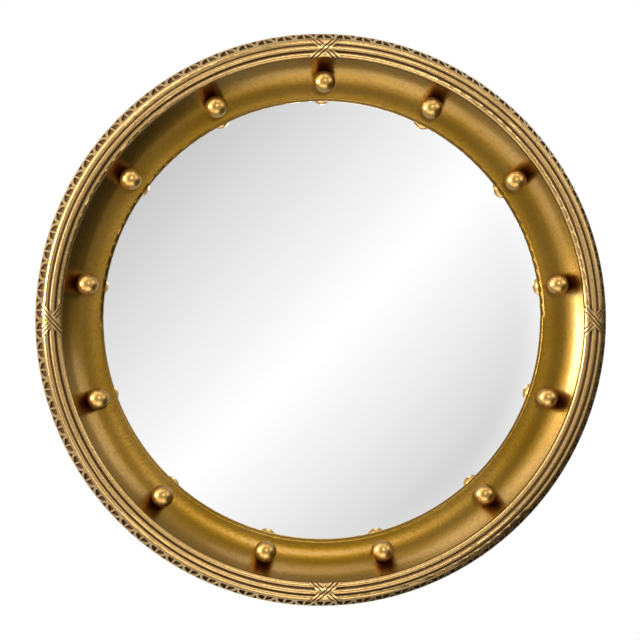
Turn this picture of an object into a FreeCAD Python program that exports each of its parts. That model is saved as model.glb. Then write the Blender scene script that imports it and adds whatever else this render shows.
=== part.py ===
import FreeCAD, Part
import math
import os

import Sketcher

# A convex wall mirror in a round gilt frame. +Z is up and the glass faces -Y.
# The origin is on the wall plane behind the middle of the glass, so a depth is
# measured from the wall towards the viewer (y = -depth) and a radius from the
# frame's axis, which is the Y axis.

doc = FreeCAD.newDocument("ConvexMirror")
sheet = doc.addObject("Spreadsheet::Sheet", "Sizes")

DRIVING_SIZES = [
    # the turned frame ring, from the glass outwards
    ("wall_gap", 5.5, "wall to the back of the frame"),
    ("sight_radius", 160.8, "opening that shows the glass"),
    ("sight_edge", 0.4, "straight edge of the opening, over the glass"),
    ("sight_round", 2.2, "quarter round from that edge up to its crest"),
    ("crest_step", 0.4, "crest of the round down to the cove's floor"),
    ("cove_width", 27.2, "cove across"),
    ("cove_rise", 13.0, "cove's floor to the bed"),
    ("bed_height", 30.5, "frame's back to the flat bed under the reeds"),
    ("ledge_height", 8.5, "frame's back to the ledge under the leaf border"),
    ("back_inset", 3.5, "plain back edge inside the outermost lip"),
    ("rebate_lap", 7.0, "shoulder that the glass bears on"),
    # reed bundle and its crossed ribbons
    ("reed_margin", 0.15, "cove's edge to the reeds"),
    ("bundle_sink", 3.5, "centre of the arc that the reeds lie on, below the bed"),
    ("reed_radius", 2.6, "one reed's half width"),
    ("reed_arc_radius", 6.4, "arc that the reeds' centres lie on"),
    ("reed_spread", 43.0, "angle between neighbouring reeds on that arc"),
    ("ribbon_thickness", 0.45, "ribbon web above the reeds"),
    ("ribbon_rib_height", 0.55, "rib above the web of the upper ribbon"),
    ("ribbon_under_drop", 0.2, "how much lower the under ribbon's ribs are"),
    ("ribbon_width", 5.7, "one ribbon across"),
    ("ribbon_rib_width", 1.15, "one rib across"),
    ("ribbon_half_span", 8.0, "middle of the tie to a ribbon's end, along the frame"),
    # leaf-and-dart border
    ("reed_lap", 0.85, "how far the reeds cover the joint of frame and border"),
    ("glue_line", 0.1, "glue between border and frame"),
    ("border_top_width", 0.9, "border's flat edge beside the reeds"),
    ("border_flare", 5.57, "border's flat edge to the outermost lip, outwards"),
    ("border_lip_height", 2.2, "ledge to the outermost lip"),
    ("border_lip_round", 0.8, "how far the lip turns back in at the ledge"),
    ("leaf_count", 90, "leaves round the frame"),
    ("leaf_gap", 1.95, "half of the land between two leaves"),
    ("leaf_vein_width", 1.4, "vein left standing down the leaf"),
    ("leaf_start", 1.4, "top of the slope to the leaf's foot"),
    ("leaf_shoulder", 6.0, "straight side of the leaf"),
    ("leaf_margin", 2.6, "leaf's tip to the lip"),
    ("leaf_cut_depth", 1.3, "depth of the hollows beside the vein"),
    ("dart_half_width", 1.7, "half width of the dart at the lip"),
    ("dart_length", 13.0, "dart's foot to its point"),
    ("dart_margin", 1.4, "dart's foot to the lip"),
    # balls in the cove
    ("ball_count", 13, "balls round the cove"),
    ("ball_radius", 8.0, "turned ball"),
    ("ball_offset", 10.6, "cove's inner edge to the balls' centres"),
    ("ball_drift", 1.7, "degrees that the balls at the sides stand above even spacing"),
    ("ball_flat_radius", 3.5, "flat that the ball stands on"),
    ("ball_sink", 0.25, "seat below the cove's surface"),
    ("ball_seat_radius", 4.8, "round seat cut in the cove"),
    ("peg_radius", 2.5, "dowel under each ball"),
    ("peg_length", 8.0, "dowel below the seat"),
    ("peg_clearance", 0.05, "dowel to its hole, on the radius"),
    ("peg_end_gap", 0.5, "dowel's end to the bottom of its hole"),
    # glass, packing and back
    ("glass_curve_radius", 640.0, "convex front of the glass"),
    ("glass_thickness", 3.0, "glass"),
    ("glass_edge_gap", 1.5, "edge of the glass to the rebate"),
    ("glass_clearance", 0.1, "glass to shoulder and to packing"),
    ("board_inset", 2.5, "frame's back to the board's back"),
    ("board_thickness", 3.0, "backing board"),
    ("board_edge_gap", 0.7, "edge of the board to the rebate"),
    ("packing_width", 8.0, "card packing ring across"),
    ("packing_edge_gap", 0.5, "packing ring to the edge of the glass"),
    ("pin_count", 12, "headless pins that hold the board"),
    ("pin_radius", 0.7, "pin"),
    ("pin_clearance", 0.02, "pin to its hole, on the radius"),
    ("pin_point_length", 2.0, "pin's point"),
    ("pin_out_length", 8.0, "pin standing over the board"),
    ("pin_in_length", 10.0, "pin driven into the frame"),
    # hanger and bumpers
    ("strap_margin", 1.8, "rebate to the strap's foot"),
    ("ring_wire_radius", 1.2, "hanger ring's wire"),
    ("ring_half_width", 8.0, "hanger ring's wire line, half across"),
    ("ring_leg_length", 3.0, "hanger ring's straight legs"),
    ("ring_bend_radius", 1.5, "hanger ring's corner bends"),
    ("ring_clearance", 0.06, "ring's bar to the strap's eye, on the radius"),
    ("ring_rest_gap", 0.1, "ring leaning back to the frame"),
    ("strap_thickness", 1.2, "hanger strap"),
    ("strap_width", 11.0, "hanger strap across"),
    ("strap_length", 21.4, "ring's bar to the strap's lower end"),
    ("screw_first", 7.2, "ring's bar to the first screw"),
    ("screw_pitch", 10.2, "screw to screw"),
    ("screw_radius", 1.45, "screw's shank"),
    ("screw_length", 12.0, "screw in the wood"),
    ("screw_point_length", 3.0, "screw's point"),
    ("screw_clearance", 0.05, "shank to its hole, on the radius"),
    ("screw_head_radius", 2.7, "screw's domed head"),
    ("screw_head_height", 1.7, "screw's domed head"),
    ("screw_slot_width", 0.7, "slot in the head"),
    ("screw_slot_depth", 0.8, "slot in the head"),
    ("bumper_radius", 7.0, "wall bumper"),
    ("bumper_angle", 35.0, "bumper from the foot of the frame"),
]

for row, (alias, value, meaning) in enumerate(DRIVING_SIZES, start=1):
    sheet.set(f"A{row}", alias)
    sheet.set(f"B{row}", str(value))
    sheet.setAlias(f"B{row}", alias)
    sheet.set(f"C{row}", meaning)
doc.recompute()

WHOLE_TURN = 360
SCREWS = 2
TIES = {"top": 0, "right": 90, "foot": 180, "left": 270}


class Size:
    """A number together with the sheet expression that it comes from."""

    def __init__(self, value, text):
        self.value = value
        self.text = text

    def __add__(self, other):
        other = as_size(other)
        return Size(self.value + other.value, f"({self.text} + {other.text})")

    def __sub__(self, other):
        other = as_size(other)
        return Size(self.value - other.value, f"({self.text} - {other.text})")

    def __mul__(self, other):
        other = as_size(other)
        return Size(self.value * other.value, f"({self.text} * {other.text})")

    def __truediv__(self, other):
        other = as_size(other)
        return Size(self.value / other.value, f"({self.text} / {other.text})")

    def __neg__(self):
        start = "(0 - "
        if self.text.startswith(start):
            return Size(-self.value, self.text[len(start) : -1])
        return Size(-self.value, f"{start}{self.text})")


def as_size(number):
    return number if isinstance(number, Size) else Size(number, repr(number))


def root(x):
    return Size(math.sqrt(x.value), f"sqrt({x.text})")


def sine(degrees):
    return Size(math.sin(math.radians(degrees.value)), f"sin({degrees.text} * 1 deg)")


def cosine(degrees):
    return Size(math.cos(math.radians(degrees.value)), f"cos({degrees.text} * 1 deg)")


def angle_of(rise, run):
    """The angle in degrees whose tangent is rise over run, for a run above 0."""
    value = math.degrees(math.atan2(rise.value, run.value))
    return Size(value, f"(atan({rise.text} / {run.text}) / 1 deg)")


class SheetSizes:
    """Gives a driving size by its alias."""

    def __getattr__(self, alias):
        return Size(float(sheet.get(alias)), f"{sheet.Name}.{alias}")


size = SheetSizes()
BALLS = range(int(size.ball_count.value))


# Bodies, sketches and features


def new_body(label):
    body = doc.addObject("PartDesign::Body", label)
    body.Label = label
    body.AllowCompound = True
    return body


def origin_part(body, role):
    return [part for part in body.Origin.OriginFeatures if part.Role == role][0]


def new_sketch(body, plane, name):
    sketch = body.newObject("Sketcher::SketchObject", name)
    sketch.AttachmentSupport = [(origin_part(body, plane), "")]
    sketch.MapMode = "FlatFace"
    return sketch


def offset_sketch(sketch, x=None, y=None, z=None, turn=None, about=(0, 0, 1)):
    """Moves a sketch within its plane's own axes, and turns it about one of them."""
    sketch.AttachmentOffset = FreeCAD.Placement(
        FreeCAD.Vector(0, 0, 0), FreeCAD.Rotation(FreeCAD.Vector(*about), 1)
    )
    for name, amount in (("Base.x", x), ("Base.y", y), ("Base.z", z)):
        if amount is not None:
            sketch.setExpression(f"AttachmentOffset.{name}", amount.text)
    turn = as_size(0) if turn is None else turn
    sketch.setExpression("AttachmentOffset.Rotation.Angle", f"{turn.text} * 1 deg")


def bind(sketch, kind, *where_and_size):
    """Adds one dimension to a sketch and ties it to its sheet expression."""
    *where, amount = where_and_size
    index = sketch.addConstraint(Sketcher.Constraint(kind, *where, amount.value))
    sketch.setExpression(f"Constraints[{index}]", amount.text)


def pin_point(sketch, edge, end, x, y):
    """Fixes a point of the sketch: a plain 0 puts it on the axis, None leaves it free."""
    for kind, amount, axis in (("DistanceX", x, -2), ("DistanceY", y, -1)):
        if amount is None:
            continue
        if not isinstance(amount, Size):
            sketch.addConstraint(Sketcher.Constraint("PointOnObject", edge, end, axis))
        elif amount.value < 0:
            bind(sketch, kind, edge, end, -1, 1, -amount)
        else:
            bind(sketch, kind, -1, 1, edge, end, amount)


def flat(corner):
    return FreeCAD.Vector(*[as_size(part).value for part in corner], 0)


def draw_outline(sketch, corners, arcs=None):
    """Draws a closed outline. arcs gives the centre and turn (+1 against the clock,
    -1 with it) of each edge that is an arc, under its first corner's number."""
    arcs = arcs or {}
    ends = []
    for number, start in enumerate(corners):
        finish = corners[(number + 1) % len(corners)]
        if number in arcs:
            centre, turn = arcs[number]
            ends.append(draw_arc(sketch, start, finish, centre, turn))
        else:
            edge = sketch.addGeometry(Part.LineSegment(flat(start), flat(finish)))
            ends.append((edge, 1, 2))
    for number, (edge, first, last) in enumerate(ends):
        next_edge, next_first, _ = ends[(number + 1) % len(ends)]
        sketch.addConstraint(
            Sketcher.Constraint("Coincident", edge, last, next_edge, next_first)
        )
        pin_point(sketch, edge, first, *corners[number])


def draw_arc(sketch, start, finish, centre, turn):
    """Draws an arc, and holds the part of its centre that its two ends leave free."""
    order = (start, finish) if turn > 0 else (finish, start)
    arms = [flat(corner) - flat(centre) for corner in order]
    angles = [math.atan2(arm.y, arm.x) for arm in arms]
    circle = Part.Circle(flat(centre), FreeCAD.Vector(0, 0, 1), arms[0].Length)
    edge = sketch.addGeometry(Part.ArcOfCircle(circle, *angles))
    chord = flat(finish) - flat(start)
    if abs(chord.y) > abs(chord.x):
        pin_point(sketch, edge, 3, centre[0], None)
    else:
        pin_point(sketch, edge, 3, None, centre[1])
    return (edge, 1, 2) if turn > 0 else (edge, 2, 1)


def draw_circle(sketch, x, y, radius):
    circle = Part.Circle(flat((x, y)), FreeCAD.Vector(0, 0, 1), radius.value)
    edge = sketch.addGeometry(circle)
    bind(sketch, "Radius", edge, radius)
    pin_point(sketch, edge, 3, x, y)


def profile_point(depth, radius):
    """A point of the frame's section, in a sketch on the YZ plane."""
    return (-depth, radius)


def add_feature(body, kind, name, sketch, axis=None, **settings):
    feature = body.newObject(f"PartDesign::{kind}", name)
    feature.Profile = sketch
    if axis:
        feature.ReferenceAxis = (sketch, [axis])
    for key, value in settings.items():
        if isinstance(value, Size):
            feature.setExpression(key, value.text)
        else:
            setattr(feature, key, value)
    body.Tip = feature
    return feature


def repeat_round(body, feature, name, count):
    """Repeats a feature round the frame's axis, which is the body's Y axis."""
    pattern = body.newObject("PartDesign::PolarPattern", name)
    pattern.Originals = [feature]
    pattern.Axis = (origin_part(body, "Y_Axis"), [""])
    pattern.Angle = WHOLE_TURN
    pattern.setExpression("Occurrences", count.text)
    body.Tip = pattern
    return pattern


def turn_about_axis(thing, degrees):
    """Turns an object about the frame's axis, clockwise as seen from the front."""
    y_axis = FreeCAD.Vector(0, 1, 0)
    thing.Placement = FreeCAD.Placement(
        FreeCAD.Vector(0, 0, 0), FreeCAD.Rotation(y_axis, 1)
    )
    thing.setExpression("Placement.Rotation.Angle", f"{degrees.text} * 1 deg")


def boolean(kind, name, base, tool):
    result = doc.addObject(f"Part::{kind}", name)
    result.Base = base
    result.Tool = tool
    return result


def fuse(name, shapes):
    result = doc.addObject("Part::MultiFuse", name)
    result.Shapes = shapes
    return result


# Sizes that several pieces share: radii from the glass outwards, then depths

cove_inner_radius = size.sight_radius + size.sight_round
cove_outer_radius = cove_inner_radius + size.cove_width
reed_side = size.reed_arc_radius * sine(size.reed_spread)
bundle_inner_edge = cove_outer_radius + size.reed_margin
bundle_radius = bundle_inner_edge + size.reed_radius + reed_side
bundle_outer_edge = bundle_radius + reed_side + size.reed_radius
flank_radius = bundle_outer_edge - size.reed_lap
border_bore = flank_radius + size.glue_line
slope_top_radius = border_bore + size.border_top_width
border_radius = slope_top_radius + size.border_flare
back_edge_radius = border_radius - size.back_inset
rebate_radius = size.sight_radius + size.rebate_lap
glass_radius = rebate_radius - size.glass_edge_gap

ledge_depth = size.wall_gap + size.ledge_height
border_lip_depth = ledge_depth + size.border_lip_height
bed_depth = size.wall_gap + size.bed_height
bundle_centre_depth = bed_depth - size.bundle_sink
outer_reed_depth = bundle_centre_depth + size.reed_arc_radius * cosine(size.reed_spread)
cove_floor_depth = bed_depth - size.cove_rise
crest_depth = cove_floor_depth + size.crest_step
sight_edge_depth = crest_depth - size.sight_round
rebate_depth = sight_edge_depth - size.sight_edge
board_depth = size.wall_gap + size.board_inset

cove_curve_radius = (
    size.cove_width * size.cove_width + size.cove_rise * size.cove_rise
) / (size.cove_rise * 2)
cove_centre = profile_point(cove_floor_depth + cove_curve_radius, cove_inner_radius)

# The ball's centre stands on the normal of the cove, so its seat is tilted.
ball_rise = root(
    size.ball_radius * size.ball_radius - size.ball_flat_radius * size.ball_flat_radius
)
ball_from_cove_centre = cove_curve_radius - ball_rise + size.ball_sink
ball_reach = ball_from_cove_centre * ball_from_cove_centre
seat_tilt = angle_of(
    size.ball_offset, root(ball_reach - size.ball_offset * size.ball_offset)
)
seat_depth = cove_floor_depth + cove_curve_radius - cove_curve_radius * cosine(seat_tilt)
seat_radius = cove_inner_radius + cove_curve_radius * sine(seat_tilt)

# Front and back of the glass are spheres about one centre; the front one passes
# just behind the shoulder's inner corner.
glass_edge_depth = rebate_depth - size.glass_clearance
glass_centre_depth = glass_edge_depth - root(
    size.glass_curve_radius * size.glass_curve_radius
    - size.sight_radius * size.sight_radius
)
glass_back_radius = size.glass_curve_radius - size.glass_thickness

pin_depth = board_depth - size.pin_radius
strap_eye_radius = size.ring_wire_radius + size.ring_clearance
strap_eye_outside = strap_eye_radius + size.strap_thickness
ring_pivot_depth = size.wall_gap - strap_eye_outside
ring_pivot_height = rebate_radius + size.strap_margin + size.strap_length


# The frame ring


def make_frame_turning():
    body = new_body("frame_turning")
    section = new_sketch(body, "YZ_Plane", "frame_section")
    corners = [
        profile_point(size.wall_gap, rebate_radius),
        profile_point(rebate_depth, rebate_radius),
        profile_point(rebate_depth, size.sight_radius),
        profile_point(sight_edge_depth, size.sight_radius),
        profile_point(crest_depth, cove_inner_radius),
        profile_point(cove_floor_depth, cove_inner_radius),
        profile_point(bed_depth, cove_outer_radius),
        profile_point(bed_depth, flank_radius),
        profile_point(ledge_depth, flank_radius),
        profile_point(ledge_depth, back_edge_radius),
        profile_point(size.wall_gap, back_edge_radius),
    ]
    round_centre = profile_point(sight_edge_depth, cove_inner_radius)
    arcs = {3: (round_centre, -1), 5: (cove_centre, 1)}
    draw_outline(section, corners, arcs)
    add_feature(body, "Revolution", "frame_ring_turning", section, "H_Axis", Angle=WHOLE_TURN)
    return body


def place_on_cove(sketch):
    """Puts a sketch's origin on the cove under a ball, with its V axis along the normal."""
    x, y = profile_point(seat_depth, seat_radius)
    offset_sketch(sketch, x=x, y=y, turn=seat_tilt + 90)


def turn_to_ball(body, number):
    """The balls are set out by eye: those at the sides stand above even spacing."""
    even = as_size(number * WHOLE_TURN) / size.ball_count
    turn_about_axis(body, even - size.ball_drift * sine(even))


def make_ball_seat(number):
    """The round seat and the dowel hole under one ball, as the wood that they remove."""
    body = new_body(f"ball_seat_{number + 1:02d}")
    section = new_sketch(body, "YZ_Plane", f"ball_seat_section_{number + 1:02d}")
    place_on_cove(section)
    hole_radius = size.peg_radius + size.peg_clearance
    hole_bottom = -(size.ball_sink + size.peg_length + size.peg_end_gap)
    above_cove = size.ball_radius
    corners = [
        (0, above_cove),
        (0, hole_bottom),
        (hole_radius, hole_bottom),
        (hole_radius, -size.ball_sink),
        (size.ball_seat_radius, -size.ball_sink),
        (size.ball_seat_radius, above_cove),
    ]
    draw_outline(section, corners)
    add_feature(
        body, "Revolution", f"ball_seat_cut_{number + 1:02d}", section, "V_Axis",
        Angle=WHOLE_TURN,
    )
    turn_to_ball(body, number)
    return body


def make_pin_holes():
    body = new_body("pin_holes")
    section = new_sketch(body, "YZ_Plane", "pin_hole_section")
    place_at_first_pin(section)
    hole_radius = size.pin_radius + size.pin_clearance
    hole_end = rebate_radius + size.pin_in_length
    in_the_open = rebate_radius - size.pin_radius
    corners = [
        profile_point(pin_depth, in_the_open),
        profile_point(pin_depth, hole_end),
        profile_point(pin_depth - hole_radius, hole_end),
        profile_point(pin_depth - hole_radius, in_the_open),
    ]
    draw_outline(section, corners)
    hole = add_feature(body, "Revolution", "pin_hole", section, "Edge1", Angle=WHOLE_TURN)
    doc.recompute()
    repeat_round(body, hole, "pin_hole_round", size.pin_count)
    return body


def make_screw_holes():
    body = new_body("screw_holes")
    plan = new_sketch(body, "XZ_Plane", "screw_hole_plan")
    offset_sketch(plan, z=size.wall_gap)
    draw_screw_circles(plan)
    add_feature(body, "Pad", "screw_hole_pad", plan, Length=size.screw_length)
    return body


def make_frame_ring():
    holes = [make_ball_seat(number) for number in BALLS]
    holes += [make_pin_holes(), make_screw_holes()]
    removed = doc.addObject("Part::Compound", "frame_holes")
    removed.Links = holes
    return boolean("Cut", "frame_ring", make_frame_turning(), removed)


def place_at_first_pin(sketch):
    """Turns a section so that the pins stand clear of the hanger at the top."""
    half_pitch = as_size(WHOLE_TURN) / size.pin_count / 2
    offset_sketch(sketch, turn=half_pitch, about=(1, 0, 0))


def draw_screw_circles(sketch):
    for number in range(SCREWS):
        height = ring_pivot_height - size.screw_first - size.screw_pitch * number
        draw_circle(sketch, 0, height, size.screw_radius + size.screw_clearance)


# The reeds and their crossed ribbons


def make_reeded_band():
    body = new_body("reeded_band")
    section = new_sketch(body, "YZ_Plane", "reed_section")
    half_spread = size.reed_spread / 2
    half_gap = size.reed_arc_radius * sine(half_spread)
    groove_reach = size.reed_arc_radius * cosine(half_spread) + root(
        size.reed_radius * size.reed_radius - half_gap * half_gap
    )
    groove_side = groove_reach * sine(half_spread)
    groove_depth = bundle_centre_depth + groove_reach * cosine(half_spread)
    corners = [
        profile_point(bed_depth, bundle_inner_edge),
        profile_point(outer_reed_depth, bundle_inner_edge),
        profile_point(groove_depth, bundle_radius - groove_side),
        profile_point(groove_depth, bundle_radius + groove_side),
        profile_point(outer_reed_depth, bundle_outer_edge),
        profile_point(bed_depth, bundle_outer_edge),
    ]
    middle_reed_depth = bundle_centre_depth + size.reed_arc_radius
    arcs = {
        1: (profile_point(outer_reed_depth, bundle_radius - reed_side), -1),
        2: (profile_point(middle_reed_depth, bundle_radius), -1),
        3: (profile_point(outer_reed_depth, bundle_radius + reed_side), -1),
    }
    draw_outline(section, corners, arcs)
    add_feature(body, "Revolution", "reed_turning", section, "H_Axis", Angle=WHOLE_TURN)
    return body


def draw_band(sketch, lean, offset, width):
    """Draws one slanting band across the reeds. lean is +1 where it rises to the right,
    and offset shifts it sideways within its ribbon."""
    rise = bundle_outer_edge - bundle_inner_edge
    run = size.ribbon_half_span * 2
    length = root(rise * rise + run * run)
    middle = offset * length / rise
    half_width = width / 2 * length / rise
    low_x = -size.ribbon_half_span * lean + middle
    high_x = size.ribbon_half_span * lean + middle
    corners = [
        (low_x - half_width, bundle_inner_edge),
        (low_x + half_width, bundle_inner_edge),
        (high_x + half_width, bundle_outer_edge),
        (high_x - half_width, bundle_outer_edge),
    ]
    draw_outline(sketch, corners)


def make_prism(name, bands, angle):
    """Stands slanting bands up as tall prisms over the reeds, turned to their tie."""
    body = new_body(name)
    plan = new_sketch(body, "XZ_Plane", f"{name}_plan")
    offset_sketch(plan, z=outer_reed_depth)
    for band in bands:
        draw_band(plan, *band)
    add_feature(body, "Pad", f"{name}_pad", plan, Length=bundle_centre_depth)
    turn_about_axis(body, as_size(angle))
    return body


def make_envelope(name, height):
    """A torus that stands the given height above the reeds."""
    torus = doc.addObject("Part::Torus", name)
    torus.setExpression("Radius1", bundle_radius.text)
    reach = size.reed_arc_radius + size.reed_radius + height
    torus.setExpression("Radius2", reach.text)
    torus.Placement = FreeCAD.Placement(
        FreeCAD.Vector(0, 0, 0), FreeCAD.Rotation(FreeCAD.Vector(1, 0, 0), 90)
    )
    torus.setExpression("Placement.Base.y", (-bundle_centre_depth).text)
    return torus


def make_ribbon_tie(place, angle, envelopes, reeds):
    """Two ribbons crossed over the reeds, the one that rises to the right on top. Each is
    a thin web with three ribs, and its underside takes the shape of the reeds."""
    web_height, over_height, under_height = envelopes
    rib_shift = (size.ribbon_width - size.ribbon_rib_width) / 2
    rib_offsets = (-rib_shift, as_size(0), rib_shift)

    def prism(name, lean, offsets, width):
        bands = [(lean, offset, width) for offset in offsets]
        return make_prism(f"{name}_{place}", bands, angle)

    over = prism("over_web", 1, [as_size(0)], size.ribbon_width)
    under = prism("under_web", -1, [as_size(0)], size.ribbon_width)
    over_ribs = prism("over_ribs", 1, rib_offsets, size.ribbon_rib_width)
    under_ribs = prism("under_ribs", -1, rib_offsets, size.ribbon_rib_width)
    parted_ribs = boolean("Cut", f"parted_ribs_{place}", under_ribs, over)
    webs = fuse(f"webs_{place}", [over, under])
    layers = [
        boolean("Common", f"web_layer_{place}", web_height, webs),
        boolean("Common", f"over_layer_{place}", over_height, over_ribs),
        boolean("Common", f"under_layer_{place}", under_height, parted_ribs),
    ]
    block = fuse(f"ribbon_block_{place}", layers)
    return boolean("Cut", f"ribbon_tie_{place}", block, reeds)


# The leaf-and-dart border

slope_out = border_radius - slope_top_radius
slope_back = bed_depth - border_lip_depth
slope_length = root(slope_out * slope_out + slope_back * slope_back)
half_leaf_pitch = slope_top_radius * sine(as_size(WHOLE_TURN) / size.leaf_count / 2)


def make_leaf_border():
    body = new_body("leaf_border")
    section = new_sketch(body, "YZ_Plane", "border_section")
    corners = [
        profile_point(ledge_depth, border_bore),
        profile_point(bed_depth, border_bore),
        profile_point(bed_depth, slope_top_radius),
        profile_point(border_lip_depth, border_radius),
        profile_point(ledge_depth, border_radius - size.border_lip_round),
    ]
    draw_outline(section, corners)
    add_feature(body, "Revolution", "border_turning", section, "H_Axis", Angle=WHOLE_TURN)

    carving = new_sketch(body, "XZ_Plane", "leaf_carving")
    slope_angle = angle_of(slope_out, slope_back)
    offset_sketch(
        carving, y=slope_top_radius, z=bed_depth,
        turn=slope_angle - 90, about=(1, 0, 0),
    )
    for side in (-1, 1):
        draw_hollow(carving, side)
    draw_dart(carving)
    doc.recompute()
    cut = add_feature(body, "Pocket", "leaf", carving, Length=size.leaf_cut_depth)
    doc.recompute()
    repeat_round(body, cut, "leaves", size.leaf_count)
    return body


def draw_hollow(sketch, side):
    """Half of the hollow inside a leaf, beside its vein, with a rounded tip."""
    vein_x = size.leaf_vein_width / 2
    edge_x = half_leaf_pitch - size.leaf_gap
    shoulder = size.leaf_start + size.leaf_shoulder
    leaf_end = slope_length - size.leaf_margin
    tip_height = leaf_end - shoulder
    centre_x = (edge_x * edge_x - vein_x * vein_x - tip_height * tip_height) / (
        (edge_x - vein_x) * 2
    )
    corners = [
        (vein_x * side, size.leaf_start),
        (edge_x * side, size.leaf_start),
        (edge_x * side, shoulder),
        (vein_x * side, leaf_end),
    ]
    draw_outline(sketch, corners, {2: ((centre_x * side, shoulder), side)})


def draw_dart(sketch):
    """The dart between two leaves: its point is towards the reeds."""
    foot = slope_length - size.dart_margin
    corners = [
        (half_leaf_pitch - size.dart_half_width, foot),
        (half_leaf_pitch, foot - size.dart_length),
        (half_leaf_pitch + size.dart_half_width, foot),
    ]
    draw_outline(sketch, corners)


# The balls in the cove


def make_ball(number):
    """A turned ball on its dowel, with the flat that it stands on."""
    body = new_body(f"ball_{number + 1:02d}")
    section = new_sketch(body, "YZ_Plane", f"ball_section_{number + 1:02d}")
    place_on_cove(section)
    seat = -size.ball_sink
    corners = [
        (0, seat - size.peg_length),
        (size.peg_radius, seat - size.peg_length),
        (size.peg_radius, seat),
        (size.ball_flat_radius, seat),
        (0, seat + ball_rise + size.ball_radius),
    ]
    draw_outline(section, corners, {3: ((0, seat + ball_rise), 1)})
    add_feature(
        body, "Revolution", f"ball_turning_{number + 1:02d}", section, "V_Axis",
        Angle=WHOLE_TURN,
    )
    turn_to_ball(body, number)
    return body


# The glass and what holds it in


def make_sphere(name, radius):
    sphere = doc.addObject("Part::Sphere", name)
    sphere.setExpression("Radius", radius.text)
    sphere.setExpression("Placement.Base.y", (-glass_centre_depth).text)
    return sphere


def make_mirror_glass():
    front = make_sphere("glass_front", size.glass_curve_radius)
    back = make_sphere("glass_back", glass_back_radius)
    shell = boolean("Cut", "glass_sheet", front, back)
    disc = doc.addObject("Part::Cylinder", "glass_edge")
    disc.setExpression("Radius", glass_radius.text)
    disc.setExpression("Height", size.glass_curve_radius.text)
    disc.Placement = FreeCAD.Placement(
        FreeCAD.Vector(0, 0, 0), FreeCAD.Rotation(FreeCAD.Vector(1, 0, 0), 90)
    )
    return boolean("Common", "mirror_glass", shell, disc)


def glass_back_depth(radius):
    return glass_centre_depth + root(
        glass_back_radius * glass_back_radius - radius * radius
    )


def make_packing_ring():
    """The card ring between the backing board and the rim of the glass."""
    body = new_body("packing_ring")
    section = new_sketch(body, "YZ_Plane", "packing_section")
    outside = glass_radius - size.packing_edge_gap
    inside = outside - size.packing_width
    board_front = board_depth + size.board_thickness
    corners = [
        profile_point(board_front, inside),
        profile_point(glass_back_depth(inside) - size.glass_clearance, inside),
        profile_point(glass_back_depth(outside) - size.glass_clearance, outside),
        profile_point(board_front, outside),
    ]
    draw_outline(section, corners)
    add_feature(body, "Revolution", "packing_turning", section, "H_Axis", Angle=WHOLE_TURN)
    return body


def make_backing_board():
    body = new_body("backing_board")
    plan = new_sketch(body, "XZ_Plane", "board_plan")
    offset_sketch(plan, z=board_depth)
    draw_circle(plan, 0, 0, rebate_radius - size.board_edge_gap)
    add_feature(body, "Pad", "board_pad", plan, Length=size.board_thickness)
    return body


def make_board_pins():
    """Headless pins that lie on the board with their points in the rebate's wall."""
    body = new_body("board_pins")
    section = new_sketch(body, "YZ_Plane", "pin_section")
    place_at_first_pin(section)
    point_end = rebate_radius + size.pin_in_length
    point_start = point_end - size.pin_point_length
    inner_end = rebate_radius - size.pin_out_length
    corners = [
        profile_point(pin_depth, inner_end),
        profile_point(pin_depth, point_end),
        profile_point(pin_depth - size.pin_radius, point_start),
        profile_point(pin_depth - size.pin_radius, inner_end),
    ]
    draw_outline(section, corners)
    pin = add_feature(body, "Revolution", "pin", section, "Edge1", Angle=WHOLE_TURN)
    doc.recompute()
    repeat_round(body, pin, "pins", size.pin_count)
    return body


# The hanger and the wall bumpers

strap_face_depth = size.wall_gap - size.strap_thickness


def make_hanger_strap():
    body = new_body("hanger_strap")
    plan = new_sketch(body, "XZ_Plane", "strap_plan")
    offset_sketch(plan, z=strap_face_depth)
    half_width = size.strap_width / 2
    foot = ring_pivot_height - size.strap_length
    corners = [
        (-half_width, ring_pivot_height),
        (-half_width, foot + half_width),
        (half_width, foot + half_width),
        (half_width, ring_pivot_height),
    ]
    draw_outline(plan, corners, {1: ((0, foot + half_width), 1)})
    draw_screw_circles(plan)
    add_feature(body, "Pad", "strap_plate", plan, Length=size.strap_thickness)

    eye = new_sketch(body, "YZ_Plane", "strap_eye_section")
    offset_sketch(eye, x=-ring_pivot_depth, y=ring_pivot_height)
    draw_circle(eye, 0, 0, strap_eye_outside)
    add_feature(body, "Pad", "strap_eye", eye, Length=size.strap_width, Midplane=True)

    bore = new_sketch(body, "YZ_Plane", "strap_bore_section")
    offset_sketch(bore, x=-ring_pivot_depth, y=ring_pivot_height)
    draw_circle(bore, 0, 0, strap_eye_radius)
    doc.recompute()
    add_feature(
        body, "Pocket", "strap_bore", bore, Length=size.strap_width * 2, Midplane=True
    )
    return body


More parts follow.
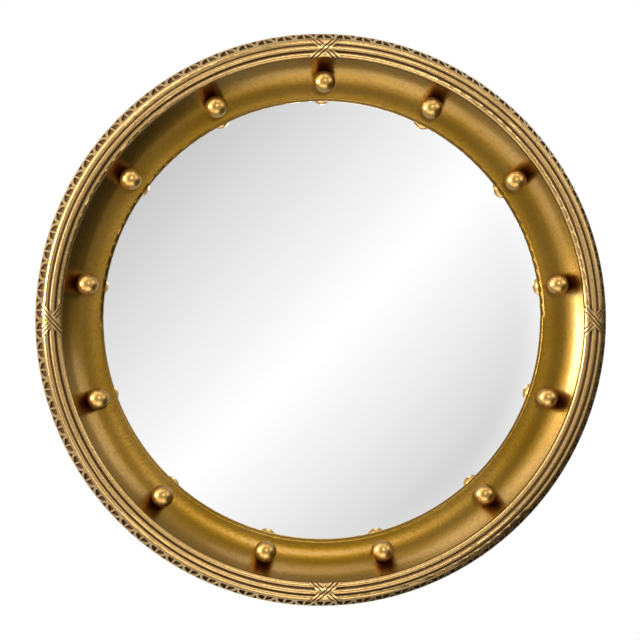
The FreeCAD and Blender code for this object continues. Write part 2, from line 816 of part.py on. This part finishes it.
def make_hanger_ring():
    """A D of round wire whose bar turns in the strap's eye, leaning on the frame."""
    body = new_body("hanger_ring")
    bend = size.ring_bend_radius
    side = size.ring_half_width
    leg_top = bend + size.ring_leg_length
    path = new_sketch(body, "XZ_Plane", "ring_path")
    corners = [
        (0, 0),
        (side - bend, 0),
        (side, bend),
        (side, leg_top),
        (-side, leg_top),
        (-side, bend),
        (bend - side, 0),
    ]
    arcs = {
        1: ((side - bend, bend), 1),
        3: ((0, leg_top), 1),
        5: ((bend - side, bend), 1),
    }
    draw_outline(path, corners, arcs)
    wire = new_sketch(body, "YZ_Plane", "ring_wire")
    draw_circle(wire, 0, 0, size.ring_wire_radius)
    doc.recompute()
    ring = body.newObject("PartDesign::AdditivePipe", "ring_bend")
    ring.Profile = wire
    ring.Spine = path
    body.Tip = ring
    lean_rise = strap_eye_outside - size.ring_wire_radius - size.ring_rest_gap
    reach = leg_top + side
    lean = angle_of(lean_rise, root(reach * reach - lean_rise * lean_rise))
    body.Placement = FreeCAD.Placement(
        FreeCAD.Vector(0, 0, 0), FreeCAD.Rotation(FreeCAD.Vector(1, 0, 0), 1)
    )
    body.setExpression("Placement.Base.y", (-ring_pivot_depth).text)
    body.setExpression("Placement.Base.z", ring_pivot_height.text)
    body.setExpression("Placement.Rotation.Angle", f"{lean.text} * 1 deg")
    return body


def make_hanger_screws():
    body = new_body("hanger_screws")
    section = new_sketch(body, "YZ_Plane", "screw_section")
    offset_sketch(section, y=ring_pivot_height - size.screw_first)
    head_top = strap_face_depth - size.screw_head_height
    dome_radius = (
        size.screw_head_height * size.screw_head_height
        + size.screw_head_radius * size.screw_head_radius
    ) / (size.screw_head_height * 2)
    tip = size.wall_gap + size.screw_length - size.screw_clearance
    corners = [
        (-tip, 0),
        profile_point(tip - size.screw_point_length, size.screw_radius),
        profile_point(strap_face_depth, size.screw_radius),
        profile_point(strap_face_depth, size.screw_head_radius),
        (-head_top, 0),
    ]
    draw_outline(section, corners, {3: ((-(head_top + dome_radius), 0), -1)})
    turning = add_feature(
        body, "Revolution", "screw_turning", section, "H_Axis", Angle=WHOLE_TURN
    )
    slot = new_sketch(body, "XZ_Plane", "screw_slot_plan")
    offset_sketch(slot, y=ring_pivot_height - size.screw_first, z=head_top)
    half_width = size.screw_slot_width / 2
    reach = size.screw_head_radius
    corners = [
        (-reach, -half_width),
        (reach, -half_width),
        (reach, half_width),
        (-reach, half_width),
    ]
    draw_outline(slot, corners)
    doc.recompute()
    groove = add_feature(
        body, "Pocket", "screw_slot", slot, Length=size.screw_slot_depth, Reversed=True
    )
    doc.recompute()
    pair = body.newObject("PartDesign::LinearPattern", "screw_pair")
    pair.Originals = [turning, groove]
    pair.Direction = (origin_part(body, "Z_Axis"), [""])
    pair.Reversed = True
    pair.setExpression("Length", size.screw_pitch.text)
    pair.Occurrences = SCREWS
    body.Tip = pair
    return body


def make_wall_bumpers():
    body = new_body("wall_bumpers")
    plan = new_sketch(body, "XZ_Plane", "bumper_plan")
    middle = (rebate_radius + back_edge_radius) / 2
    along = middle * sine(size.bumper_angle)
    below = middle * cosine(size.bumper_angle)
    for side in (-1, 1):
        draw_circle(plan, along * side, -below, size.bumper_radius)
    add_feature(body, "Pad", "bumper_pad", plan, Length=size.wall_gap)
    return body


def make_nodes():
    """Every piece of the mirror, by the name of its file."""
    reeds = make_reeded_band()
    nodes = [make_frame_ring(), reeds, make_leaf_border()]
    nodes += [make_ball(number) for number in BALLS]
    web = size.ribbon_thickness
    ridge = web + size.ribbon_rib_height
    envelopes = (
        make_envelope("web_height", web),
        make_envelope("over_height", ridge),
        make_envelope("under_height", ridge - size.ribbon_under_drop),
    )
    for place, angle in TIES.items():
        nodes.append(make_ribbon_tie(place, angle, envelopes, reeds))
    nodes += [make_mirror_glass(), make_packing_ring(), make_backing_board()]
    nodes += [make_board_pins(), make_hanger_strap(), make_hanger_ring()]
    nodes += [make_hanger_screws(), make_wall_bumpers()]
    return nodes


nodes = make_nodes()
doc.recompute()

for thing in doc.Objects:
    if "Invalid" in thing.State or "Error" in thing.State:
        raise RuntimeError(f"{thing.Name} could not be built: {thing.State}")

os.makedirs("parts", exist_ok=True)
for node in nodes:
    if node.Shape.isNull() or not node.Shape.isValid() or not node.Shape.Solids:
        raise RuntimeError(f"{node.Label} has no sound solid")
    node.Shape.exportStep(f"parts/{node.Label}.step")
    print(f"{node.Label}: {len(node.Shape.Solids)} solids, {node.Shape.Volume:.0f} mm3")
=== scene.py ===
# %% [markdown]
# # A convex butlers mirror
# The mirror hangs on a wall: a bulging glass in a gilt frame with thirteen balls in
# its cove, three reeds tied with crossed ribbons, and a border of carved leaves. The
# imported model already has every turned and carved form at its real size, so this
# lesson dresses it: gilding, silvering, and the studio that a gilt surface needs,
# because gilding shows little but what it reflects.

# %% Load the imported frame
import math

import bpy
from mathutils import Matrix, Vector


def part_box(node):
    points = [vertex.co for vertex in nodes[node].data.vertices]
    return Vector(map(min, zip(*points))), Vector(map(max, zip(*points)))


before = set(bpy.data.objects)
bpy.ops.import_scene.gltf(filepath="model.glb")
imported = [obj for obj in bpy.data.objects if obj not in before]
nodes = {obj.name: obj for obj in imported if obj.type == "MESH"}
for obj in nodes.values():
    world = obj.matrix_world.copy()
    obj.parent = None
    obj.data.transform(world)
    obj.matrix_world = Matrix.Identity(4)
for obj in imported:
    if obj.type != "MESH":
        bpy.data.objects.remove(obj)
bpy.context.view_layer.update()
print("pieces in the frame:", len(nodes))

# %% [markdown]
# Everything here is round about one axis, the Y axis, so the finishes are placed by
# two numbers: how far a point is from that axis, and how far it stands in front of
# the wall. Both are measured on the loaded pieces and not typed in.

# %% Measure the turned pieces


def profile(node):
    """A piece's points as distance from the frame's axis and depth before the wall."""
    points = nodes[node].data.vertices
    return [(math.hypot(point.co.x, point.co.z), -point.co.y) for point in points]


def reach(node):
    radii = [radius for radius, depth in profile(node)]
    return min(radii), max(radii)


def front(node):
    return -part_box(node)[0].y


BALLS = sorted(name for name in nodes if name.startswith("ball_"))
TIES = [name for name in nodes if name.startswith("ribbon_tie_")]
sight_radius = reach("frame_ring")[0]
back_depth = min(depth for radius, depth in profile("frame_ring"))
reeds_inner, reeds_outer = reach("reeded_band")
print(f"sight {sight_radius:.4f}, reeds {reeds_inner:.4f} to {reeds_outer:.4f}")

# %% [markdown]
# The balls were set out by eye. On the real mirror those at the sides stand a little
# above even spacing, and so do the balls of the model, so the drift is measured too.

# %% Measure the balls


def clock_of(node):
    """Where a piece stands, in degrees clockwise from the top as seen from the front."""
    low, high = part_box(node)
    middle = (low + high) / 2
    return math.degrees(math.atan2(middle.x, middle.z)) % 360


ball_pitch = 360 / len(BALLS)
ball_drift = max(
    ball_pitch * number - clock_of(name) for number, name in enumerate(BALLS)
)
ball_low, ball_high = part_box(BALLS[0])
ball_circle = ball_low.z + (ball_high.x - ball_low.x) / 2
print(f"{len(BALLS)} balls on a circle of {ball_circle:.4f}")
print(f"drift {ball_drift:.2f} degrees")

# %% [markdown]
# ## A small language for finishes
# A finish is a network of shader nodes. Written out link by link it is hard to read,
# so two small classes turn Python expressions into nodes: `Wire` is a node's output
# that can be added, multiplied and compared, and `Finish` makes the nodes. A finish
# reads only the piece's own coordinates, so it stays put when a piece moves.

# %% Wires and finishes


class Wire:
    """A node's output. Arithmetic on it adds Math nodes."""

    def __init__(self, finish, socket):
        self.finish = finish
        self.socket = socket

    def __add__(self, other):
        return self.finish.math("ADD", self, other)

    def __sub__(self, other):
        return self.finish.math("SUBTRACT", self, other)

    def __rsub__(self, other):
        return self.finish.math("SUBTRACT", other, self)

    def __mul__(self, other):
        return self.finish.math("MULTIPLY", self, other)

    def __pow__(self, other):
        return self.finish.math("POWER", self, other)

    def __abs__(self):
        return self.finish.math("ABSOLUTE", self)

    def sine(self):
        return self.finish.math("SINE", self)

    def from_nearest_whole(self):
        """How far a number is from the nearest whole number, 0 to 0.5."""
        return self.finish.math("PINGPONG", self, 0.5)

    def above(self, low, high):
        """0 below low and 1 above high, with a soft step from one to the other."""
        settings = {"interpolation_type": "SMOOTHSTEP"}
        values = {0: self, 1: low, 2: high}
        return self.finish.node("ShaderNodeMapRange", settings, values)

    def below(self, low, high):
        return 1 - self.above(low, high)


class Finish:
    """A material, and the wires that every finish starts from."""

    def __init__(self, name):
        self.material = bpy.data.materials.new(name)
        self.material.use_nodes = True
        self.tree = self.material.node_tree
        self.shader = self.tree.nodes["Principled BSDF"]
        self.place = self.node("ShaderNodeTexCoord", output="Object")
        self.x, self.y, self.z = [
            self.node("ShaderNodeSeparateXYZ", values={0: self.place}, output=axis)
            for axis in "XYZ"
        ]

    def node(self, kind, settings=None, values=None, output=0):
        node = self.tree.nodes.new(kind)
        for name, value in (settings or {}).items():
            setattr(node, name, value)
        for name, value in (values or {}).items():
            self.feed(node.inputs[name], value)
        return Wire(self, node.outputs[output])

    def feed(self, socket, value):
        if isinstance(value, Wire):
            self.tree.links.new(value.socket, socket)
        else:
            socket.default_value = value

    def math(self, operation, *values):
        settings = {"operation": operation}
        return self.node("ShaderNodeMath", settings, dict(enumerate(values)))

    def radius(self):
        """How far a point is from the frame's axis."""
        return (self.x * self.x + self.z * self.z) ** 0.5

    def depth(self):
        """How far a point stands in front of the wall."""
        return self.y * -1

    def clock(self):
        """A point's direction round the axis, in radians clockwise from the top."""
        return self.math("ARCTAN2", self.x, self.z)

    def noise(self, size, detail=2.0):
        """Cloudy noise from 0 to 1, whose patches are about the given size in metres."""
        values = {"Vector": self.place, "Scale": 1 / size, "Detail": detail}
        return self.node("ShaderNodeTexNoise", values=values)

    def blend(self, amount, low, high):
        """Goes from the low colour to the high one as the amount goes from 0 to 1."""
        settings = {"data_type": "RGBA"}
        values = {0: amount, 6: low, 7: high}
        return self.node("ShaderNodeMix", settings, values, output=2)

    def bump(self, height, depth):
        values = {"Height": height, "Distance": depth}
        return self.node("ShaderNodeBump", values=values)

    def set(self, **values):
        """Sets the shader: set(base_color=...) is its Base Color."""
        for name, value in values.items():
            self.feed(self.shader.inputs[name.replace("_", " ").title()], value)

    def put_on(self, *names):
        for name in names:
            slots = nodes[name].data.materials
            slots.clear()
            slots.append(self.material)
        print(self.material.name, "on", ", ".join(names))


# %% [markdown]
# ## Gilding
# Gold leaf is laid and rubbed. Wide clouds drift from a deeper to a paler gold, and a
# fine grain dulls it. A dark red is painted where a ball's shadow and reflection fall,
# and it takes the lacquer away. A dark brown comes last, as painted shade in the
# recesses and as a real stain on the back; it is dull, so it takes the metal and the
# lacquer away.
#
# Any metal turns white at a grazing angle. `EDGE_GOLD` keeps some of the gold there,
# because old leaf is never so smooth.

# %% The gilding recipe
DEEP_GOLD = (0.150, 0.076, 0.002, 1)
PALE_GOLD = (0.53, 0.35, 0.145, 1)
DULL_GOLD = (0.08, 0.037, 0.002, 1)
EDGE_GOLD = (1.0, 0.88, 0.66, 1)
# dark red of the painted shadow and reflection behind each ball
SHADOW_RED = (0.055, 0.006, 0.002, 1)
# dark brown of the painted shade in recesses, and of the real stain on the back
STAIN_AND_SHADE_BROWN = (0.045, 0.018, 0.005, 1)

CLOUD_SIZE = 0.07
CLOUD_STEP = (0.3, 0.75)
CLOUD_PALENESS = 0.08
GRAIN_SIZE = 0.0022
GRAIN_STEP = (0.45, 0.75)
GRAIN_DULLNESS = 0.4
GRAIN_ROUGHNESS = 0.1
GRAIN_HEIGHT = 0.00008
STAIN_AND_SHADE_ROUGHNESS = 0.55
STAIN_AND_SHADE_SHEEN = 0.15
LACQUER_ROUGHNESS = 0.18


def gild(
    name, deep=DEEP_GOLD, paleness=0.0, polish=0.28, lacquer=0.2, painted_shadow=None, stain_and_shade=None
):
    """A gilt finish. painted_shadow and stain_and_shade are functions that say where the
    dark red painted shadow shows, and where the dark brown shows (painted shade in the
    recesses, real stain on the back). lacquer is a number or such a function. polish is
    the roughness of the leaf."""
    finish = Finish(name)
    clouds = finish.noise(CLOUD_SIZE).above(*CLOUD_STEP)
    colour = finish.blend(clouds * CLOUD_PALENESS + paleness, deep, PALE_GOLD)
    grain = finish.noise(GRAIN_SIZE, detail=3.0)
    dulled = grain.above(*GRAIN_STEP) * GRAIN_DULLNESS
    colour = finish.blend(dulled, colour, DULL_GOLD)
    roughness = grain * GRAIN_ROUGHNESS + polish
    metal = 1.0
    coat = lacquer(finish) if callable(lacquer) else lacquer
    # the painted shadow and reflection of the balls: dark red, without lacquer
    if painted_shadow:
        shadowed = painted_shadow(finish)
        colour = finish.blend(shadowed, colour, SHADOW_RED)
        coat = (1 - shadowed) * coat if coat else coat
    # dark brown, dull and without metal: painted shade in recesses, and the real stain on
    # the back
    if stain_and_shade:
        stained_and_shaded = stain_and_shade(finish)
        colour = finish.blend(stained_and_shaded, colour, STAIN_AND_SHADE_BROWN)
        roughness = roughness + stained_and_shaded * STAIN_AND_SHADE_ROUGHNESS
        metal = 1 - stained_and_shaded
        coat = (1 - stained_and_shaded) * coat if coat else coat
    finish.set(
        base_color=colour,
        metallic=metal,
        roughness=roughness,
        coat_weight=coat,
        coat_roughness=LACQUER_ROUGHNESS,
        normal=finish.bump(grain, GRAIN_HEIGHT),
        specular_tint=EDGE_GOLD,
    )
    finish.feed(finish.shader.inputs["Specular IOR Level"], STAIN_AND_SHADE_SHEEN)
    return finish


# %% [markdown]
# ## The frame ring
# The ring is turned from one piece of wood. Each ball's shadow and its reflection in
# the cove are painted behind it as a dark red patch without lacquer, between the ball
# and the reeds. The patch follows each ball: `clock` is bent by the drift, which makes
# the balls evenly spaced, and then the nearest whole number is the nearest ball.
#
# The lacquer is thin on the inner half of the cove and thicker on the outer half. The
# flat back isn't gilded: it has a coat of real stain, the same dark brown as the painted
# shade in the recesses. Each pair of sizes is where a soft step begins and ends.

# %% Gild the frame ring
PATCH_SIDE = (0.0030, 0.0090)
PATCH_START = (0.0, 0.004)
PATCH_END = (0.0114, 0.019)
PATCH_OFF_BACK = (0.003, 0.005)
PATCH_STRENGTH = 0.85
RAG_SIZE = 0.005
RAG_DEPTH = 0.002
STAIN_OFF_BACK = (0.0004, 0.0010)
LACQUER_THICKENS = (0.014, 0.024)
THIN_LACQUER = 0.15
THICK_LACQUER = 0.45


def off_the_back(finish, low, high):
    return finish.depth().above(back_depth + low, back_depth + high)


# Painted shadow and reflection: each ball's shadow and its reflection in the cove, as a
# dark red patch on the cove behind it.
def painted_shadow_behind_balls(finish):
    radius = finish.radius()
    clock = finish.clock()
    even = clock + clock.sine() * math.radians(ball_drift)
    in_pitches = even * (len(BALLS) / math.tau)
    aside = in_pitches.from_nearest_whole() * radius * (math.tau / len(BALLS))
    ragged = aside + (finish.noise(RAG_SIZE) - 0.5) * RAG_DEPTH
    narrow = ragged.below(*PATCH_SIDE)
    outward = radius - ball_circle
    behind = outward.above(*PATCH_START) * outward.below(*PATCH_END)
    in_front = off_the_back(finish, *PATCH_OFF_BACK)
    return narrow * behind * in_front * PATCH_STRENGTH


def lacquer_in_cove(finish):
    thick = (finish.radius() - sight_radius).above(*LACQUER_THICKENS)
    return thick * (THICK_LACQUER - THIN_LACQUER) + THIN_LACQUER


def stain_on_back(finish):
    return 1 - off_the_back(finish, *STAIN_OFF_BACK)


gild(
    "gilt_frame", lacquer=lacquer_in_cove, painted_shadow=painted_shadow_behind_balls, stain_and_shade=stain_on_back
).put_on("frame_ring")

# %% [markdown]
# ## The reeds and their ribbons
# The reeds are a string of cast composition, paler than the wood. Shade is painted dark
# brown in the two grooves. `across` counts the reeds from the inside: it is a whole
# number at every edge of a reed. The painted shade is solid in a groove and thins out up
# the reed, and it is left off the band's own two edges.

# %% Gild the reeds
REEDS = 3
REED_PALENESS = 0.48
RIBBON_PALENESS = 0.6
COMPOSITION_POLISH = 0.24
GROOVE = (0.08, 0.24)
REED_SIDE = (0.1, 0.42)
# how dark the painted shade is in a groove and up a reed's side
GROOVE_SHADE = 0.7
SIDE_SHADE = 0.3
SHADE_STOPS_AT_EDGES = (0.8, 1.1)


# Painted shade: dark brown, solid in the grooves, thinning up each reed, left off the
# band's two edges.
def painted_shade_between_reeds(finish):
    across = (finish.radius() - reeds_inner) * (REEDS / (reeds_outer - reeds_inner))
    up_the_reed = across.from_nearest_whole()
    stain_and_shade = up_the_reed.below(*GROOVE) * GROOVE_SHADE
    stain_and_shade = stain_and_shade + up_the_reed.below(*REED_SIDE) * SIDE_SHADE
    return stain_and_shade * abs(across - REEDS / 2).below(*SHADE_STOPS_AT_EDGES)


gild(
    "gilt_reeds", paleness=REED_PALENESS, polish=COMPOSITION_POLISH, stain_and_shade=painted_shade_between_reeds
).put_on("reeded_band")

# %% [markdown]
# The ribbons lie on the reeds, and so their ribs stand out from an arc about the
# middle of the reeds. Shade is painted dark brown on what is lower than the ribs' tops.

# %% Gild the ribbon ties
ARC_OVER_REEDS = 0.0090
RIB_TOP = 0.0010
RIB_FOOT = 0.00045
# how dark the painted shade is between the ribs
RIB_SHADE = 0.85
arc_radius = (reeds_inner + reeds_outer) / 2
arc_depth = front("reeded_band") - ARC_OVER_REEDS


# Painted shade: dark brown on what lies lower than the ribs' tops.
def painted_shade_between_ribs(finish):
    out = finish.radius() - arc_radius
    forward = finish.depth() - arc_depth
    over_reeds = (out * out + forward * forward) ** 0.5 - ARC_OVER_REEDS
    return over_reeds.below(RIB_FOOT, (RIB_FOOT + RIB_TOP) / 2) * RIB_SHADE


gild(
    "gilt_ribbons",
    paleness=RIBBON_PALENESS,
    polish=COMPOSITION_POLISH,
    stain_and_shade=painted_shade_between_ribs,
).put_on(*TIES)

# %% [markdown]
# ## The leaf border
# Leaves and darts are cut square to the border's slope. A photograph from the front
# looks along that slope, and sees dark pits between pale rims. Shade is painted dark
# brown deep in the pits, so the finish measures how far a point lies under the slope.
# The border has no lacquer, which would shine white along the slope.

# %% Gild the leaf border
LEAF_PALENESS = 0.5
PIT = (0.0002, 0.0007)
SAME_DEPTH = 1e-5
border_profile = profile("leaf_border")
top_depth = front("leaf_border")
top_radius = max(
    radius for radius, depth in border_profile if top_depth - depth < SAME_DEPTH
)
lip_radius, lip_depth = max(border_profile)
flare = (lip_radius - top_radius) / (top_depth - lip_depth)
print(f"the border flares {math.degrees(math.atan(flare)):.1f} degrees")


# Painted shade: dark brown deep in the pits between the leaves and darts.
def painted_shade_in_pits(finish):
    slope_radius = (top_depth - finish.depth()) * flare + top_radius
    under = (slope_radius - finish.radius()) * math.cos(math.atan(flare))
    return under.above(*PIT)


gild("gilt_leaves", paleness=LEAF_PALENESS, lacquer=0.0, stain_and_shade=painted_shade_in_pits).put_on(
    "leaf_border"
)

# %% [markdown]
# ## The balls
# The balls are a paler gold than the cove and carry more lacquer, so the lamps show
# on them as soft spots on the side that faces the window.

# %% Gild the balls
BALL_GOLD = (0.34, 0.19, 0.035, 1)

gild("gilt_balls", deep=BALL_GOLD, polish=0.3, lacquer=0.5).put_on(*BALLS)

# %% [markdown]
# ## The glass
# The mirror is silvered behind, and reflects all the light of its surroundings. The
# silver is what one sees, so the glass is a metal without any roughness, and the same
# all over: a clean mirror shows no grain of its own.

# %% Silver the glass
SILVER = (0.97, 0.97, 0.97, 1)

silvering = Finish("silvered_glass")
silvering.set(base_color=SILVER, metallic=1.0, roughness=0.0)
silvering.put_on("mirror_glass")

# %% [markdown]
# ## The plain parts
# Behind are hardboard, card, steel pins, a brass hanger and rubber bumpers. Each has
# a low colour and a high one, and noise at the size of its own grain between them.

# %% Board, card, steel, brass and rubber
SPECK_STEP = (0.3, 0.7)
SPECK_ROUGHNESS = 0.2
SPECK_HEIGHT = 0.05  # in grains


def plain(name, *pieces, grain, low, high, roughness, metallic=0.0):
    finish = Finish(name)
    specks = finish.noise(grain, detail=4.0)
    finish.set(
        base_color=finish.blend(specks.above(*SPECK_STEP), (*low, 1), (*high, 1)),
        metallic=metallic,
        roughness=specks * SPECK_ROUGHNESS + roughness,
        normal=finish.bump(specks, grain * SPECK_HEIGHT),
    )
    finish.put_on(*pieces)


plain(
    "hardboard", "backing_board",
    grain=0.0015, low=(0.10, 0.055, 0.03), high=(0.24, 0.14, 0.075), roughness=0.6,
)
plain(
    "card", "packing_ring",
    grain=0.002, low=(0.32, 0.24, 0.15), high=(0.45, 0.36, 0.25), roughness=0.75,
)
plain(
    "steel_pins", "board_pins",
    grain=0.002, low=(0.35, 0.34, 0.33), high=(0.6, 0.6, 0.6), roughness=0.25,
    metallic=1.0,
)
plain(
    "brass_hanger", "hanger_strap", "hanger_ring", "hanger_screws",
    grain=0.004, low=(0.4, 0.24, 0.08), high=(0.75, 0.52, 0.2), roughness=0.2,
    metallic=1.0,
)
plain(
    "bumper_rubber", "wall_bumpers",
    grain=0.0015, low=(0.012, 0.012, 0.012), high=(0.03, 0.03, 0.028), roughness=0.55,
)

# %% [markdown]
# ## The camera
# The photograph is taken nearly straight from the front, a little from the left: the
# border shows more of its slope on that side. The lens follows from the mirror's size
# in the picture.

# %% Camera
CAMERA_DISTANCE = 2.0
CAMERA_LEFT = math.radians(4.0)
CAMERA_UP = math.radians(0.3)
CAMERA_TARGET = Vector((-0.0020, -0.016, 0.0))
SENSOR_WIDTH = 36
PHOTO_WIDTH = 640
MIRROR_IN_PIXELS = 572.2
MIRROR_IN_METRES = 0.420

towards_camera = Vector((
    -math.sin(CAMERA_LEFT) * math.cos(CAMERA_UP),
    -math.cos(CAMERA_LEFT) * math.cos(CAMERA_UP),
    math.sin(CAMERA_UP),
))
photo_in_metres = PHOTO_WIDTH * MIRROR_IN_METRES / MIRROR_IN_PIXELS
camera_data = bpy.data.cameras.new("camera")
camera = bpy.data.objects.new("camera", camera_data)
bpy.context.scene.collection.objects.link(camera)
camera.location = CAMERA_TARGET + towards_camera * CAMERA_DISTANCE
camera.rotation_euler = (-towards_camera).to_track_quat("-Z", "Y").to_euler()
camera_data.sensor_width = SENSOR_WIDTH
camera_data.lens = SENSOR_WIDTH * CAMERA_DISTANCE / photo_in_metres
bpy.context.scene.camera = camera
print(f"lens {camera_data.lens:.1f} mm")

# %% [markdown]
# ## The studio
# The cove turns away from the front by up to 50 degrees, so it reflects everything
# from the camera to the sides, and each part of it shows the lamp across from it. The
# bright window on the left is mirrored in the right of the cove, the low softbox in
# its top, and the high one near the camera in its foot. The softboxes don't light the
# glass, which shows the plain card behind the camera and the balls round its edge.

# %% Softboxes
gilt_and_plain_parts = bpy.data.collections.new("gilt_and_plain_parts")
for name, node in nodes.items():
    if name != "mirror_glass":
        gilt_and_plain_parts.objects.link(node)


def direction(off_axis, clock):
    """off_axis is the angle from the frame's axis and clock the direction round it,
    both in degrees, clockwise from the top as seen from the front."""
    tilt, turn = math.radians(off_axis), math.radians(clock)
    sideways = math.sin(tilt)
    return Vector(
        (sideways * math.sin(turn), -math.cos(tilt), sideways * math.cos(turn))
    )


def face_mirror(thing, off_axis, clock, distance):
    away = direction(off_axis, clock)
    thing.location = away * distance
    thing.rotation_euler = away.to_track_quat("Z", "Y").to_euler()


def softbox(name, off_axis, clock, distance, width, height, glow):
    """A lamp that faces the mirror; glow is its brightness beside a white card."""
    data = bpy.data.lights.new(name, "AREA")
    data.shape = "RECTANGLE"
    data.size = width
    data.size_y = height
    data.energy = glow * math.pi * width * height
    lamp = bpy.data.objects.new(name, data)
    bpy.context.scene.collection.objects.link(lamp)
    face_mirror(lamp, off_axis, clock, distance)
    lamp.light_linking.receiver_collection = gilt_and_plain_parts


SOFTBOXES = (
    # name, off axis, clock, distance, width, height, glow
    ("left_softbox", 74, 284, 1.6, 1.40, 1.40, 3.0),
    ("left_window", 76, 277, 1.5, 0.65, 0.50, 32.0),
    ("far_left_softbox", 105, 300, 1.6, 1.40, 0.90, 2.6),
    ("top_left_softbox", 70, 326, 1.6, 1.00, 1.00, 3.2),
    ("top_softbox", 62, 12, 1.6, 1.00, 0.60, 2.6),
    ("upper_right_softbox", 60, 66, 1.6, 0.80, 0.80, 2.8),
    ("low_softbox", 47, 184, 1.5, 1.20, 0.90, 3.6),
    ("low_left_softbox", 60, 232, 1.6, 0.80, 0.80, 2.6),
    ("high_softbox", 17, 19, 2.3, 0.40, 0.45, 21.0),
)
for row in SOFTBOXES:
    softbox(*row)

# %% [markdown]
# Dark screens on the right keep the left of the cove deep in colour, as a dark wall
# does in the photograph, and a screen farther round does it for the right of the
# border. They stand so far round that the glass doesn't reflect them.

# %% Dark screens
SCREEN_GREY = (0.15, 0.15, 0.15, 1)
SCREEN_SIZE = 1.8
SCREEN_DISTANCE = 1.5
SCREENS = (
    # name, off axis, clock
    ("side_screen", 75, 115),
    ("back_screen", 135, 115),
)


def stage_plane(name, size):
    bpy.ops.object.select_all(action="DESELECT")
    bpy.ops.mesh.primitive_plane_add(size=size)
    plane = bpy.context.object
    plane.name = name
    return plane


felt = Finish("black_felt")
felt.set(base_color=SCREEN_GREY, roughness=1.0)
for name, off_axis, clock in SCREENS:
    screen = stage_plane(name, SCREEN_SIZE)
    face_mirror(screen, off_axis, clock, SCREEN_DISTANCE)
    screen.visible_camera = False
    screen.data.materials.append(felt.material)

# %% [markdown]
# The card behind the camera is what the glass reflects. It is lit brightest along a
# diagonal and falls off to a light grey on both sides, as in the photograph. At its
# border it is as white as the world, so that its edge doesn't show in the glass.

# %% Card behind the camera
BLACK = (0, 0, 0, 1)
WHITE = (1, 1, 1, 1)
CARD_SIZE = 5.0
CARD_DISTANCE = 2.6
CARD_GLOW = 1.03
DIAGONAL_SHIFT = 0.36
FALL_OFF_PER_METRE = 0.22
FADE_START = CARD_SIZE * 0.36
FADE_END = CARD_SIZE * 0.49

backdrop = stage_plane("studio_card", CARD_SIZE)
face_mirror(backdrop, 0, 0, CARD_DISTANCE)
backdrop.visible_camera = False
card = Finish("card_glow")
from_diagonal = abs(card.x - card.y - DIAGONAL_SHIFT) * math.sqrt(0.5)
from_middle = (card.x * card.x + card.y * card.y) ** 0.5
fall_off = from_middle.below(FADE_START, FADE_END) * FALL_OFF_PER_METRE
lightness = 1 - from_diagonal * fall_off
card.set(
    base_color=BLACK,
    roughness=1.0,
    emission_color=card.blend(lightness, BLACK, WHITE),
    emission_strength=CARD_GLOW,
)
backdrop.data.materials.append(card.material)

# %% [markdown]
# The floor is small and lies well under the mirror, outside the photograph's frame.
# The world is white where it is seen, directly or in metal and glass, and a little
# darker as a light, so that it doesn't wash the softboxes out.

# %% Floor and world
FLOOR_SIZE = 2.2
FLOOR_LEVEL = -0.5
FLOOR_GREY = (0.8, 0.8, 0.8, 1)
WORLD_LIGHT = 0.6

floor = stage_plane("pale_floor", FLOOR_SIZE)
floor.location.z = FLOOR_LEVEL
floor.visible_glossy = False
pale = Finish("pale_floor")
pale.set(base_color=FLOOR_GREY, roughness=0.9)
floor.data.materials.append(pale.material)

world = bpy.data.worlds.new("studio")
bpy.context.scene.world = world
world.use_nodes = True
tree = world.node_tree
air = tree.nodes["Background"]
air.inputs["Color"].default_value = WHITE
air.inputs["Strength"].default_value = WORLD_LIGHT
white = tree.nodes.new("ShaderNodeBackground")
white.inputs["Color"].default_value = WHITE
rays = tree.nodes.new("ShaderNodeLightPath")
seen = rays.outputs["Is Camera Ray"]
for kind in ("Is Glossy Ray", "Is Transmission Ray"):
    either = tree.nodes.new("ShaderNodeMath")
    either.operation = "MAXIMUM"
    tree.links.new(seen, either.inputs[0])
    tree.links.new(rays.outputs[kind], either.inputs[1])
    seen = either.outputs[0]
choice = tree.nodes.new("ShaderNodeMixShader")
tree.links.new(seen, choice.inputs[0])
tree.links.new(air.outputs[0], choice.inputs[1])
tree.links.new(white.outputs[0], choice.inputs[2])
tree.links.new(choice.outputs[0], tree.nodes["World Output"].inputs[0])

bpy.context.scene.view_settings.view_transform = "Standard"
